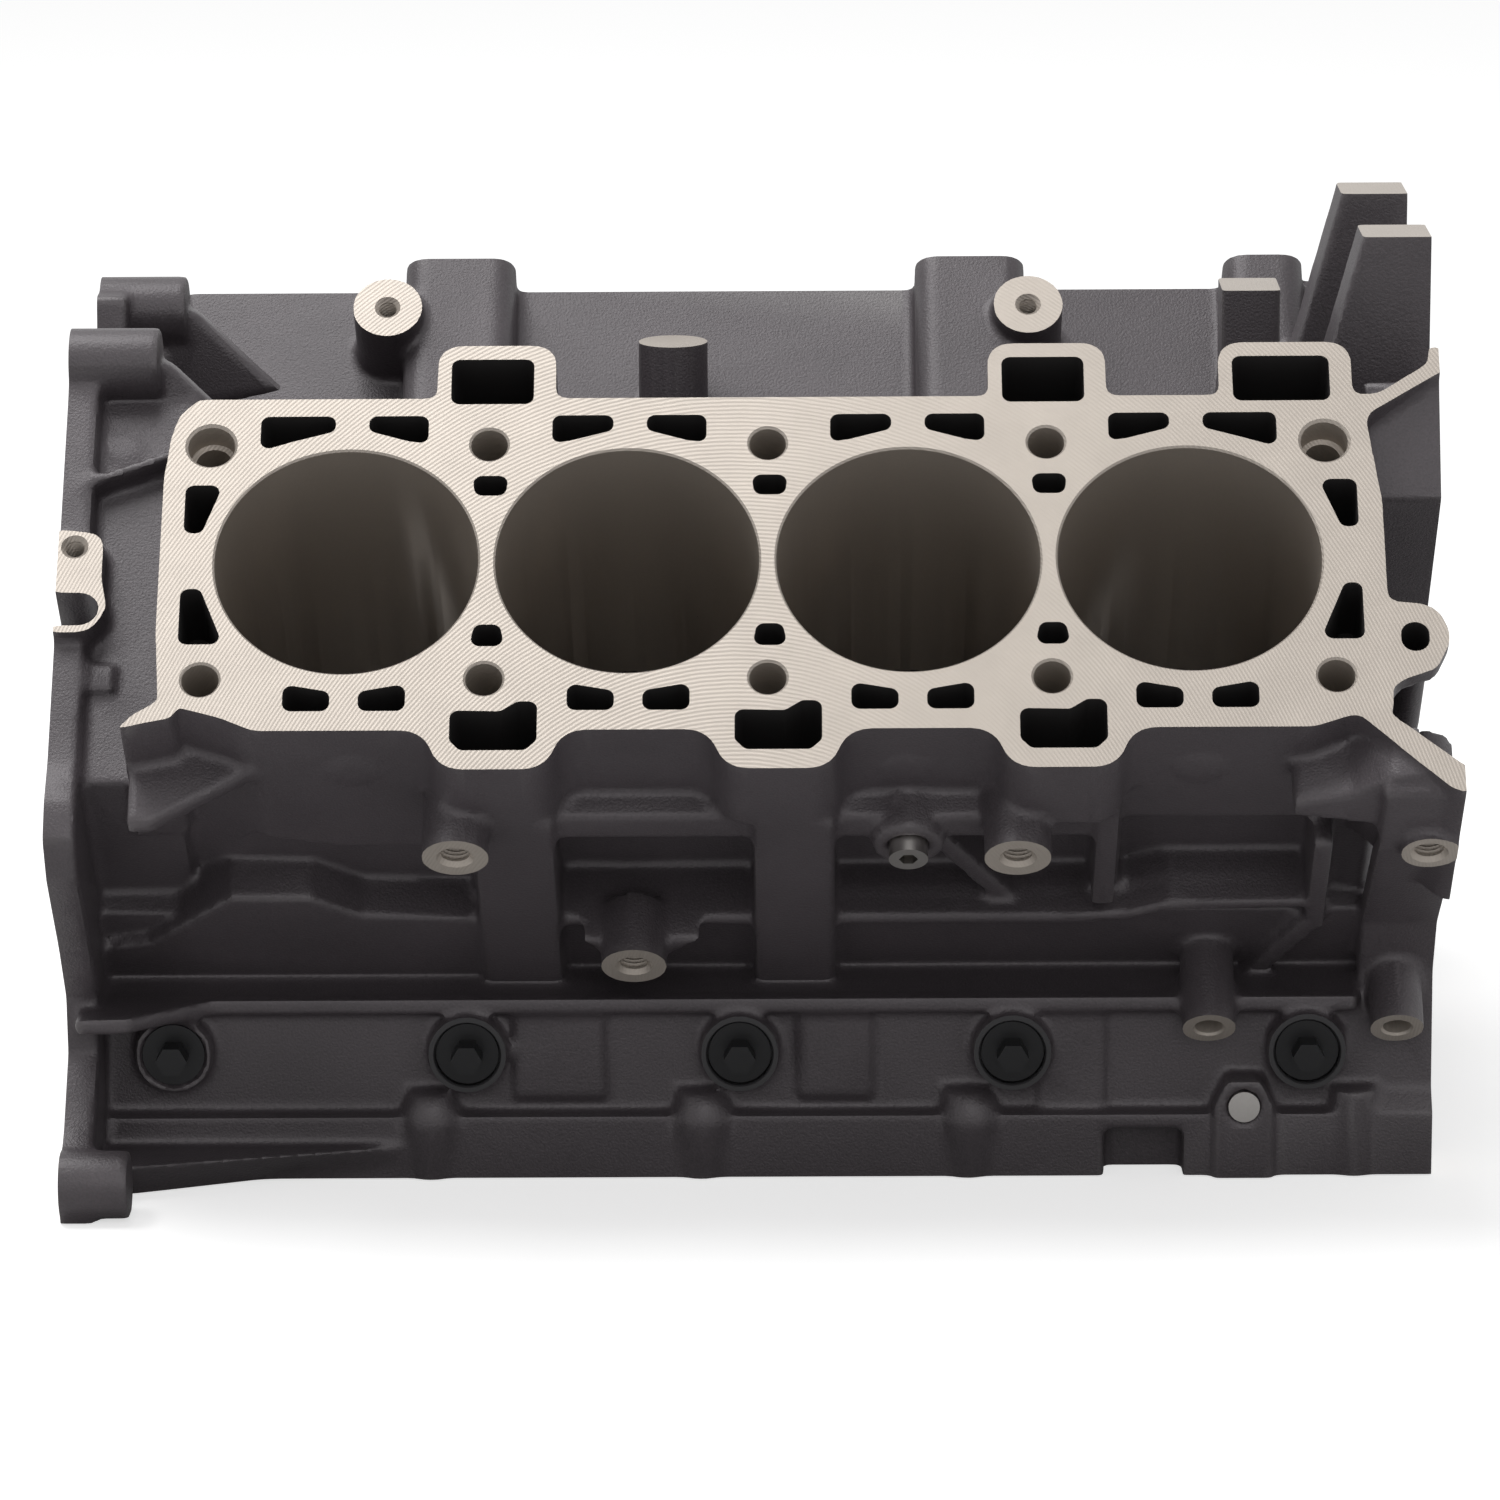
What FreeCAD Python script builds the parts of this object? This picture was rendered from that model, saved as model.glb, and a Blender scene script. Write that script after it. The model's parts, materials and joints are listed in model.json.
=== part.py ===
import FreeCAD
import Part
import math
import os

# A 90 degree V8 cylinder block with its main bearing caps, bolts and plugs.  Millimetres.
# +X runs to the timing (front) end, +Z is up, the crankshaft axis is the X axis.
# The origin is the centre of the middle main bearing.  The near bank leans towards -Y.
# Each bank is drawn upright in its own frame (x, v, u): u runs out along the bores from
# the crankshaft axis, v runs across the deck towards the valley.

# ---- driving dimensions
BORE_R = 47.0
BORE_PITCH = 100.0
BANK_LEAN = 45.0          # degrees from vertical
BANK_STAGGER = 23.0       # near bank ahead of the far bank
DECK_HEIGHT = 227.0       # crankshaft axis to deck, along the bore
BORE_FOOT = 92.0          # lower end of the barrels, from the crankshaft axis
REAR_LENGTH = 37.5        # last main bearing to the rear face
FRONT_LENGTH = 46.5       # first main bearing to the front face

DECK_IN = 69.5            # valley edge of the deck, from the bore axis
DECK_OUT = 70.7           # exhaust edge of the deck, from the bore axis
DECK_REAR = 14.5          # deck past the rearmost bolt column
DECK_FRONT = 19.5         # deck past the foremost bolt column
BOLT_ROW = 49.5           # head bolt rows, from the bore axis
HEAD_BOLT_R = 6.6
HEAD_BOLT_DEPTH = 70.0
DOWEL_R = 8.5
DOWEL_DEPTH = 12.0

COLUMN_DEPTH = 16.1       # oil return columns, proud of the exhaust wall
COLUMN_LEFT = 9.0         # column under its lobe, rearwards and forwards of the lobe's middle
COLUMN_RIGHT = 20.0
LOBE_HEIGHT = 40.0        # full lobes of the deck reach down this far
TAB_DEPTH = 23.0          # oil return tabs, proud of the valley wall
JACKET_LENGTH = 42.0      # exhaust wall, deck to lip
LIP_THICK = 15.0
LIP_PROUD = 11.3
RIB_TOP = 113.0           # thin rib under the deep pockets, from the crankshaft axis
RIB_THICK = 5.0
SIDE_FOOT = 61.5          # foot of the bank on the exhaust side
SIDE_FACE = 76.0          # lower exhaust wall, from the bore axis
POCKET_BACK = 58.0        # back of the deep pockets
WALL = 8.0
SLOT_DEPTH = 34.0         # water slots
WINDOW_DEPTH = 60.0       # oil return windows
SHELF_DROP = 43.0         # deck to the shelf over the rear flange
PAD_RISE = 12.0           # machined pad on that shelf
NOTCH_DEPTH = 40.0

MAIN_R = 36.5             # main bearing housing
MAIN_END = 8.0            # end bearings, outside the bore pitch
BULKHEAD = 21.0
BAY_R = 88.0              # crankshaft sweep
SKIRT_OUT = 121.0         # half width over the skirts
RAIL_OUT = 128.0          # half width over the pan rails
RAIL_IN = 100.0
RAIL_TOP = 56.0           # top of the pan rails, below the crankshaft axis
PAN_DEPTH = 79.5          # pan face, below the crankshaft axis
LEDGE_DROP = 11.0         # ledge along the skirt, below the crankshaft axis
LEDGE_THICK = 6.5
FLANGE = 11.5             # rear flange
SEAL_R = 58.0
EAR_HALF = 174.0          # lower ears of the rear flange
EAR_R = 12.4
EAR_RISE = 12.5           # ear bolt above the pan face
EAR_LENGTH = 25.0

CAP_HALF = 86.0           # half width of a main cap
CAP_DEPTH = 62.0
STUD_ROW = 54.0           # main cap bolts, from the crankshaft axis
STUD_R = 6.0
STUD_LENGTH = 58.0        # in the bulkhead
STUD_HEAD = 12.0
STUD_FLATS = 17.0
CROSS_DROP = 31.5         # cross bolts, below the crankshaft axis
CROSS_R = 5.0
CROSS_GAP = 4.0           # between the tip of a cross bolt and the cap bolt
CROSS_FLANGE = 3.0
CROSS_HEAD = 10.0
CROSS_FLATS = 10.0
COLLAR_R = 14.4
COLLAR_PROUD = 12.0
RECESS_R = 12.0
RECESS_DEPTH = 5.0

BOSS_R = 12.0             # mounting bosses on the exhaust side
BOSS_TIP = 99.0           # faces of the upper bosses, from the bore axis
LOW_BOSS_R = 10.0
LOW_BOSS_TIP = 110.0
BOSS_HOLE_R = 5.1
BOSS_HOLE_DEPTH = 22.0
PLUG_X = 61.0             # oil gallery plug
PLUG_DROP = 11.0          # below the top of the lips
PLUG_R = 7.0
PLUG_BOSS_R = 13.0
SIDE_PLUG_X = 185.0       # round plug low on the skirt
SIDE_PLUG_Z = -52.0
SIDE_PLUG_R = 5.75
SIDE_PLUG_OUT = 133.0
DISCS = (-136.5, 111.5)   # round bosses on the far wall of the valley
DISC_U = 198.7
DISC_FACE = 60.0          # inner end of the bosses, from the bore axis
DISC_TIP = 100.0          # face of the bosses in the valley, from the bore axis
DISC_R = 13.5
DISC_HOLE_R = 3.0
DISC_HOLE_DEPTH = 14.0
RAIL_BOLTS = (-114.0, -15.0, 83.0, 226.0)
RAIL_BOLT_R = 4.0
DOME_R = 9.0

# ---- values that follow
NEAR = BANK_STAGGER / 2
COLUMNS = [BORE_PITCH * i for i in (-2, -1, 0, 1, 2)]
BORES = [BORE_PITCH * (i + 0.5) for i in (-2, -1, 0, 1)]
MAINS = [COLUMNS[0] - MAIN_END] + COLUMNS[1:4] + [COLUMNS[4] + MAIN_END]
REAR_FACE = MAINS[0] - REAR_LENGTH
FRONT_FACE = MAINS[4] + FRONT_LENGTH
BANK_REAR = COLUMNS[0] - DECK_REAR
BANK_FRONT = COLUMNS[4] + DECK_FRONT
FRONT_WALL = NEAR + BANK_FRONT
LOBES = [NEAR + column + 3.5 for column in COLUMNS[1:4]]
LIP_TOP = DECK_HEIGHT - JACKET_LENGTH
LIP_FOOT = LIP_TOP - LIP_THICK
LIP_FACE = DECK_OUT + LIP_PROUD
PLUG_U = LIP_TOP - PLUG_DROP
LEDGE_Z = -LEDGE_DROP
CROSS_STOP = STUD_ROW + STUD_R + CROSS_GAP
PAN_Z = -PAN_DEPTH
NORMAL = {"plan": (0, 0, 1), "side": (0, 1, 0), "end": (1, 0, 0)}


# ---- drawing helpers
def lift(plane, level, a, b):
    """A point of a drawing: plan is (x, y) at z, side is (x, z) at y, end is (y, z) at x."""
    if plane == "plan":
        return FreeCAD.Vector(a, b, level)
    if plane == "side":
        return FreeCAD.Vector(a, level, b)
    return FreeCAD.Vector(level, a, b)


def corner(before, point, after, radius):
    """Both ends and the middle of the arc that rounds one corner of an outline."""
    back = (before - point).normalize()
    ahead = (after - point).normalize()
    half = back.getAngle(ahead) / 2
    tangent = radius / math.tan(half)
    axis = (back + ahead).normalize()
    middle = point + axis * (radius / math.sin(half) - radius)
    return point + back * tangent, middle, point + ahead * tangent


def outline(plane, level, points):
    """Closed wire through (a, b) or (a, b, radius) points, rounded where a radius is given."""
    places = [lift(plane, level, p[0], p[1]) for p in points]
    count = len(points)
    edges = []
    first = last = None
    for i, place in enumerate(places):
        if len(points[i]) > 2:
            start, middle, end = corner(places[i - 1], place, places[(i + 1) % count], points[i][2])
        else:
            start, middle, end = place, None, place
        if last is not None and last.distanceToPoint(start) > 1e-6:
            edges.append(Part.LineSegment(last, start).toShape())
        if middle is not None:
            edges.append(Part.Arc(start, middle, end).toShape())
        if first is None:
            first = start
        last = end
    if last.distanceToPoint(first) > 1e-6:
        edges.append(Part.LineSegment(last, first).toShape())
    return Part.Wire(edges)


def slab(plane, start, stop, points):
    """Solid of an outline, from one level to the other."""
    face = Part.Face(outline(plane, start, points))
    return face.extrude(FreeCAD.Vector(*NORMAL[plane]) * (stop - start))


def rod(plane, start, stop, a, b, radius):
    """Round bar square to a drawing, from one level to the other."""
    way = FreeCAD.Vector(*NORMAL[plane]) * (1 if stop > start else -1)
    return Part.makeCylinder(radius, abs(stop - start), lift(plane, start, a, b), way)


def block(x0, x1, y0, y1, z0, z1):
    """Box between two corners."""
    return Part.makeBox(x1 - x0, y1 - y0, z1 - z0, FreeCAD.Vector(x0, y0, z0))


def fuse(solids):
    """One solid of several that meet."""
    return solids[0].multiFuse(solids[1:])


def leaned(shape, side):
    """A shape from the bank frame, leaned over to the near (-1) or the far (+1) side."""
    turned = shape.copy()
    turned.rotate(FreeCAD.Vector(), FreeCAD.Vector(1, 0, 0), BANK_LEAN)
    return turned if side < 0 else across(turned)


def across(shape):
    """The mirror image on the other side of the crankshaft."""
    return shape.mirror(FreeCAD.Vector(), FreeCAD.Vector(0, 1, 0))


def both_sides(points):
    """Closed outline from its -Y half, listed from the bottom to the top."""
    return points + [(-p[0],) + tuple(p[1:]) for p in reversed(points)]


# ---- one bank, in its own frame (x, v, u)
def deck_edge(centre, tabs, lobed):
    """Plan of the bank: tabs on the valley side, return lobes on the exhaust side."""
    rear = centre + BANK_REAR
    front = centre + BANK_FRONT
    low = -DECK_OUT
    foot = low - COLUMN_DEPTH
    edge = [(rear, low + 12), (rear - 2, -30), (rear - 2, 36), (rear, 54)]
    edge += [(rear + 2.5, DECK_IN - 7), (rear + 9, DECK_IN)]
    for left, right in tabs:
        top = DECK_IN + TAB_DEPTH
        edge += [(left, DECK_IN), (left, top, 8), (right, top, 8), (right, DECK_IN)]
    edge += [(front - 1, DECK_IN), (front - 4, 57), (front, 24), (front, -63), (front - 4, low + 3)]
    edge += [(front - 14, low + 5), (front - 28, low)]
    if lobed:
        for column in reversed(COLUMNS[1:4]):
            middle = centre + column + 3.5
            edge += [(middle + 24, low, 11), (middle + 19, foot, 11)]
            edge += [(middle - 19, foot, 11), (middle - 24, low, 11)]
    edge += [(rear + 34, low), (rear + 22, low + 5.5)]
    return edge


def exhaust_side(shift):
    """Columns, lips, lower wall and ribs on the exhaust side, moved by the bank stagger."""
    rear = REAR_FACE + 4 - shift
    front = FRONT_WALL - 1
    foot = -DECK_OUT - COLUMN_DEPTH
    lobe = DECK_HEIGHT - LOBE_HEIGHT + 1
    first, second, third = LOBES
    solids = []
    for middle in (first, second):
        solids.append(block(middle - COLUMN_LEFT, middle + COLUMN_RIGHT, foot, -50, SIDE_FOOT, lobe))
    solids.append(block(third + 13, third + 21, -LIP_FACE, -50, RIB_TOP + 8, lobe))
    solids.append(block(first + 10, second, -LIP_FACE, -50, LIP_FOOT, LIP_TOP))
    lip = [(second, LIP_FOOT), (third - 22, LIP_FOOT), (third - 16, LIP_FOOT - 16)]
    lip += [(third - 3, LIP_FOOT - 16), (third - 10, LIP_TOP), (second, LIP_TOP)]
    solids.append(slab("side", -LIP_FACE, -50, lip))
    solids.append(block(rear, front, -SIDE_FACE, -50, SIDE_FOOT, RIB_TOP - RIB_THICK))
    solids.append(block(first, third + 15, -LIP_FACE, -50, RIB_TOP - RIB_THICK, RIB_TOP))
    wave = [(rear, SIDE_FOOT), (rear, 90), (-216, 96), (-184, 129)]
    wave += [(-155, 128), (-137, 115), (-94, 113), (first, 113)]
    solids.append(slab("side", -LIP_FACE, -50, wave + [(first, SIDE_FOOT)]))
    bent = [(third, 108), (141.5, 110), (156, 117), (207, 118)]
    bent += [(207, 123), (156, 122), (141.5, 115), (third, 113)]
    solids.append(slab("side", -LIP_FACE, -50, bent))
    solids.append(block(206, 213, -LIP_FACE, -50, 103, 165))
    solids.append(slab("side", -LIP_FACE, -50, [(204, 107), (213, 107), (190, SIDE_FOOT), (181, SIDE_FOOT)]))
    for solid in solids:
        solid.translate(FreeCAD.Vector(shift, 0, 0))
    return solids


def exhaust_pockets(shift):
    """Deep pockets in the exhaust side, under the lips and the jacket wall."""
    first, second, third = LOBES
    back = -POCKET_BACK
    cuts = [block(first + COLUMN_RIGHT, second - COLUMN_LEFT, -110, back, RIB_TOP, LIP_FOOT)]
    cuts.append(block(second + COLUMN_RIGHT, third + 13, -110, back, RIB_TOP + 1, LIP_FOOT))
    high = LIP_TOP - 20
    deep = [(142, 117), (156, 123), (206, 123), (206, high), (138, high), (138, 117)]
    cuts.append(slab("side", -110, back, deep))
    cuts.append(slab("side", -110, back - 6, [(-196, 123), (-190, 127), (-155, 127), (-137, 115), (-96, 113),
                                              (-96, 147), (-143, 146), (-163, 151), (-172, 154)]))
    cuts.append(block(213, 231, -110, -DECK_OUT + 2, 107, 143))
    for cut in cuts:
        cut.translate(FreeCAD.Vector(shift, 0, 0))
    return cuts


def bank_body(centre, tabs):
    """Barrels and water jacket of one bank with its exhaust side."""
    shift = centre - NEAR
    parts = [slab("plan", DECK_HEIGHT - LOBE_HEIGHT, DECK_HEIGHT, deck_edge(centre, tabs, True))]
    parts.append(slab("plan", SIDE_FOOT, DECK_HEIGHT - LOBE_HEIGHT, deck_edge(centre, tabs, False)))
    body = fuse(parts).cut(exhaust_pockets(shift))
    return fuse([body] + exhaust_side(shift)).cut(exhaust_pockets(shift)[:2])


def water_slots(centre):
    """Water slots round each bore, and the larger ones at both ends of the bank."""
    shapes = []
    for index, bore in enumerate(BORES):
        x = centre + bore
        end = 5.0 if index == 0 else 0.0
        drop = 3.0 if index == 0 else 0.0
        shape = [(-27.5 - end, 62), (-27.5 - end, 50 - drop), (-21, 51), (-5.5, 55.5), (-5.5, 62)]
        shapes.append([(x + a, b) for a, b in shape])
        end = 5.0 if index == 3 else 0.0
        drop = 3.0 if index == 3 else 0.0
        shape = [(6.5, 62), (6.5, 55.5), (21, 51), (28 + end, 50 - drop), (28 + end, 62)]
        shapes.append([(x + a, b) for a, b in shape])
        for mirror, left, right in ((-1, 4.1, 20.7), (1, 5.9, 22.5)):
            shape = [(left, -54.7), (right, -51.5), (right, -62.7), (left, -62.7)]
            shapes.append([(x + mirror * a, b) for a, b in shape])
    for column in COLUMNS[1:4]:
        x = centre + column + 0.7
        shapes.append([(x - 6.5, 36), (x + 6.5, 36), (x + 5.5, 27.5), (x - 5.5, 27.5)])
        shapes.append([(x - 6.3, -36.1), (x + 6.3, -36.1), (x + 4.5, -27), (x - 4.5, -27)])
    return shapes + end_slots(centre)


def end_slots(centre):
    """Four tall water slots beside the end bolts of a bank."""
    rear = centre + COLUMNS[0]
    front = centre + COLUMNS[4]
    shapes = [[(rear - 8.5, 32.5), (rear + 5, 32.5), (rear - 2, 12), (rear - 8.5, 12)]]
    shapes.append([(rear - 8.5, -11.5), (rear - 1.5, -11.5), (rear + 7.5, -34.8), (rear - 8.5, -34.8)])
    shapes.append([(front - 3, 33), (front + 10.7, 33), (front + 10.7, 12.7), (front + 4.5, 12.7)])
    shapes.append([(front + 4.5, -11), (front + 10.7, -11), (front + 10.7, -34.5), (front - 5, -34.5)])
    return shapes


def return_windows(tabs):
    """Oil return windows through the tabs."""
    return [[(left + 5, 67), (right - 8, 67), (right - 8, 86.5), (left + 5, 86.5)] for left, right in tabs]


def return_kidneys(centre):
    """Oil return openings in the lobes."""
    shapes = []
    for column in COLUMNS[1:4]:
        x = centre + column
        shape = [(x - 11.7, -75), (x - 8, -79), (x + 15, -79), (x + 19, -75), (x + 19, -59), (x + 12, -59)]
        shapes.append(shape + [(x + 6, -63), (x - 11.7, -62.6)])
    return shapes


def head_bolt_holes(centre):
    """Ten head bolt holes, with a dowel counterbore in two of them."""
    cuts = []
    base = DECK_HEIGHT - HEAD_BOLT_DEPTH
    for column in COLUMNS:
        for row in (-BOLT_ROW, BOLT_ROW):
            cuts.append(rod("plan", base, DECK_HEIGHT + 1, centre + column, row, HEAD_BOLT_R))
    for column in (COLUMNS[0], COLUMNS[4]):
        x = centre + column
        cuts.append(rod("plan", DECK_HEIGHT - DOWEL_DEPTH, DECK_HEIGHT + 1, x, BOLT_ROW, DOWEL_R))
    return cuts


def front_ear(centre):
    """Bolt ear level with the deck, past the front of the bank."""
    front = centre + BANK_FRONT
    shape = [(front - 6, -18), (front + 6, -19.5), (front + 17, -20.5, 10), (front + 22, -34, 10)]
    shape += [(front + 16, -47), (front + 4, -51.5), (front - 6, -60)]
    return slab("plan", DECK_HEIGHT - WALL, DECK_HEIGHT, shape)


def ear_hole(centre):
    """Slotted hole of the front ear."""
    x = centre + BANK_FRONT + 8.9
    shape = [(x - 5, -39.8, 4.9), (x + 5, -39.8, 4.9), (x + 5, -27.8, 4.9), (x - 5, -27.8, 4.9)]
    return slab("plan", DECK_HEIGHT - 2 * WALL, DECK_HEIGHT + 1, shape)


def front_rails(centre):
    """Timing cover rails that leave both front corners of the deck."""
    front = centre + BANK_FRONT
    inner = [(front - 6, 60), (front - 2, 62), (FRONT_FACE, 79), (FRONT_FACE, 90), (FRONT_FACE - 4, 90)]
    inner += [(FRONT_FACE - 4, 83), (front + 1, 70), (front - 6, 69)]
    outer = [(front - 6, -64), (front - 1, -66), (FRONT_FACE, -87), (FRONT_FACE, -98), (FRONT_FACE - 5, -96)]
    outer += [(front - 9, -69), (front - 12, -66)]
    shelf = [(30, 60), (79, 60), (79, DECK_HEIGHT - 4), (38, DECK_HEIGHT - 21), (34, DECK_HEIGHT - 80)]
    solids = [slab("plan", 190, DECK_HEIGHT, inner), slab("plan", 150, DECK_HEIGHT, outer)]
    solids.append(slab("end", front - 4, FRONT_FACE, shelf))
    gusset = [(196, 198), (233, 189), (240, 189), (240, 224), (231, 224), (216, 211), (196, 206)]
    solids.append(slab("side", -90, -DECK_OUT + 2, [(a + centre - NEAR, b) for a, b in gusset]))
    return solids


def rear_web(centre):
    """Web and rib under the rear exhaust corner of the deck, out to the rear flange."""
    rear = centre + BANK_REAR
    shape = [(rear + 6, -58), (rear - 1, -59), (rear - 9, -64), (rear - 13.5, -69.5)]
    shape += [(rear - 4, -67), (rear + 6, -65)]
    rib = [(rear - 12, -60), (rear - 12, -92), (rear - 4, -92), (rear + 32, -DECK_OUT), (rear + 32, -60)]
    return [slab("plan", 150, DECK_HEIGHT, shape), slab("plan", 192, 200, rib)]


def rear_shelf(centre):
    """Shelf with its steps, rib and mark between the rear end of the bank and the rear flange."""
    rear = centre + BANK_REAR
    top = DECK_HEIGHT - SHELF_DROP
    inside = REAR_FACE + 6.5
    solids = [block(REAR_FACE + 4, rear + 4, -66, 100, 90, top)]
    solids.append(block(REAR_FACE + 4, inside, -66, -5, top - 1, top + 3))
    solids.append(block(inside - 1, inside + 15, -29, -17, top - 1, top + 3))
    rib = [(inside - 1, 53), (rear + 2, 69), (rear + 2, 73), (inside - 1, 57)]
    solids.append(slab("plan", top - 1, top + 10, rib))
    solids.append(rod("plan", top - 1, top + 1, inside + 13.5, 76.5, 6.5))
    pad = [(REAR_FACE, -10), (REAR_FACE + 13, -10, 9), (REAR_FACE + 19, 0, 9), (REAR_FACE + 16.5, 12)]
    pad += [(REAR_FACE + 16.5, 32, 6), (REAR_FACE, 34)]
    solids.append(slab("plan", top - 4, top + PAD_RISE, pad))
    return solids


def shelf_cuts():
    """Threaded hole and rounded notch in the machined pad over the rear flange."""
    pad = DECK_HEIGHT - SHELF_DROP + PAD_RISE
    notch = [(REAR_FACE - 1, -7), (REAR_FACE + 16, -7, 6.9), (REAR_FACE + 16, 7, 6.9), (REAR_FACE - 1, 7)]
    hole = rod("plan", pad - 14, pad + 1, REAR_FACE + 6, 26.6, 3.4)
    return [hole, slab("plan", pad - NOTCH_DEPTH, pad + 1, notch)]


def side_bosses(side):
    """Mounting bosses that face down and outwards, with their supports."""
    solids = []
    for x, u, radius, tip in boss_places():
        root = -SIDE_FACE + 2 if u < RIB_TOP else -POCKET_BACK + 4
        solids.append(rod("side", root, -tip, x, u, radius))
    ridge = [(-38 - 20, RIB_TOP), (-38 + 26, RIB_TOP), (-38 + 8, RIB_TOP - 14), (-38 - 8, RIB_TOP - 14)]
    solids.append(slab("side", -BOSS_TIP + 8, -SIDE_FACE + 2, ridge))
    if side < 0:
        solids.append(rod("side", -50, -LIP_FACE - 6, PLUG_X, PLUG_U, PLUG_BOSS_R))
        strut = [(PLUG_X - 3, PLUG_U - 4), (PLUG_X + 6, PLUG_U - 4)]
        strut += [(PLUG_X + 40, RIB_TOP), (PLUG_X + 31, RIB_TOP)]
        solids.append(slab("side", -LIP_FACE + 8, -50, strut))
    return solids


def boss_places():
    """The exhaust side bosses: x, u, radius, face."""
    upper = [(-99.3, LIP_TOP + 1.7), (99.5, LIP_TOP), (-38.0, RIB_TOP - 4.7)]
    lower = [(171.7, SIDE_FOOT + 18.3), (240.4, SIDE_FOOT + 17.8)]
    places = [(x, u, BOSS_R, BOSS_TIP) for x, u in upper]
    places.append((244.5, LIP_TOP + 2.2, LOW_BOSS_R, BOSS_TIP))
    return places + [(x, u, LOW_BOSS_R, LOW_BOSS_TIP) for x, u in lower]


def boss_holes():
    """Blind threaded holes of the exhaust side bosses."""
    cuts = []
    for x, u, radius, tip in boss_places():
        cuts.append(rod("side", -tip - 1, -tip + BOSS_HOLE_DEPTH, x, u, BOSS_HOLE_R))
    return cuts


def bank_solid(centre, tabs, side):
    """One bank complete, still upright."""
    solids = [bank_body(centre, tabs), front_ear(centre)] + rear_web(centre) + rear_shelf(centre)
    return fuse(solids + front_rails(centre) + side_bosses(side))


def bank_cuts(centre, tabs):
    """Everything that is cut out of one bank after it is whole."""
    cuts = []
    for shape in water_slots(centre) + return_kidneys(centre):
        cuts.append(slab("plan", DECK_HEIGHT - SLOT_DEPTH, DECK_HEIGHT + 1, shape))
    for shape in return_windows(tabs):
        cuts.append(slab("plan", DECK_HEIGHT - WINDOW_DEPTH, DECK_HEIGHT + 1, shape))
    for bore in BORES:
        cuts.append(rod("plan", BORE_FOOT - 30, DECK_HEIGHT + 1, centre + bore, 0, BORE_R))
    return cuts + head_bolt_holes(centre) + boss_holes() + shelf_cuts() + [ear_hole(centre)]


# ---- crankcase, in the frame of the block
def crankcase():
    """Skirts, ledge, pan rails and the solid between the banks."""
    half = [(-SKIRT_OUT, PAN_Z), (-SKIRT_OUT, LEDGE_Z), (-90, LEDGE_Z + 8), (-62, 62), (-14, 100)]
    solids = [slab("end", REAR_FACE + 3, FRONT_WALL, both_sides(half))]
    for side in (-1, 1):
        y0, y1 = sorted((side * RAIL_IN, side * RAIL_OUT))
        solids.append(block(REAR_FACE + 3, FRONT_FACE, y0, y1, PAN_Z, -RAIL_TOP))
        solids.append(block(REAR_FACE + 3, FRONT_WALL - 4, y0, y1, LEDGE_Z - LEDGE_THICK, LEDGE_Z))
        for x in MAINS:
            y = side * (SKIRT_OUT - 2)
            solids.append(rod("side", y, y + side * COLLAR_PROUD, x, -CROSS_DROP, COLLAR_R))
        for x in RAIL_BOLTS:
            solids.append(rod("plan", PAN_Z, -RAIL_TOP + 9, x, side * (RAIL_OUT - 7), DOME_R))
        y0, y1 = sorted((side * (SKIRT_OUT - 3), side * (SKIRT_OUT + 3)))
        solids.append(block(-83, -50, y0, y1, -50, LEDGE_Z - 8))
        solids.append(block(22, 48, y0, y1, -50, LEDGE_Z - 8))
        solids.append(block(110, 134, y0, y1, -RAIL_TOP, LEDGE_Z - 4))
        boss = [(SIDE_PLUG_X - 11, PAN_Z), (SIDE_PLUG_X + 11, PAN_Z), (SIDE_PLUG_X + 11, SIDE_PLUG_Z)]
        boss += [(SIDE_PLUG_X + 6, SIDE_PLUG_Z + 10), (SIDE_PLUG_X - 6, SIDE_PLUG_Z + 10)]
        boss.append((SIDE_PLUG_X - 11, SIDE_PLUG_Z))
        solids.append(slab("side", side * (SKIRT_OUT - 3), side * (SIDE_PLUG_OUT - 1), boss))
    return solids


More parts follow.
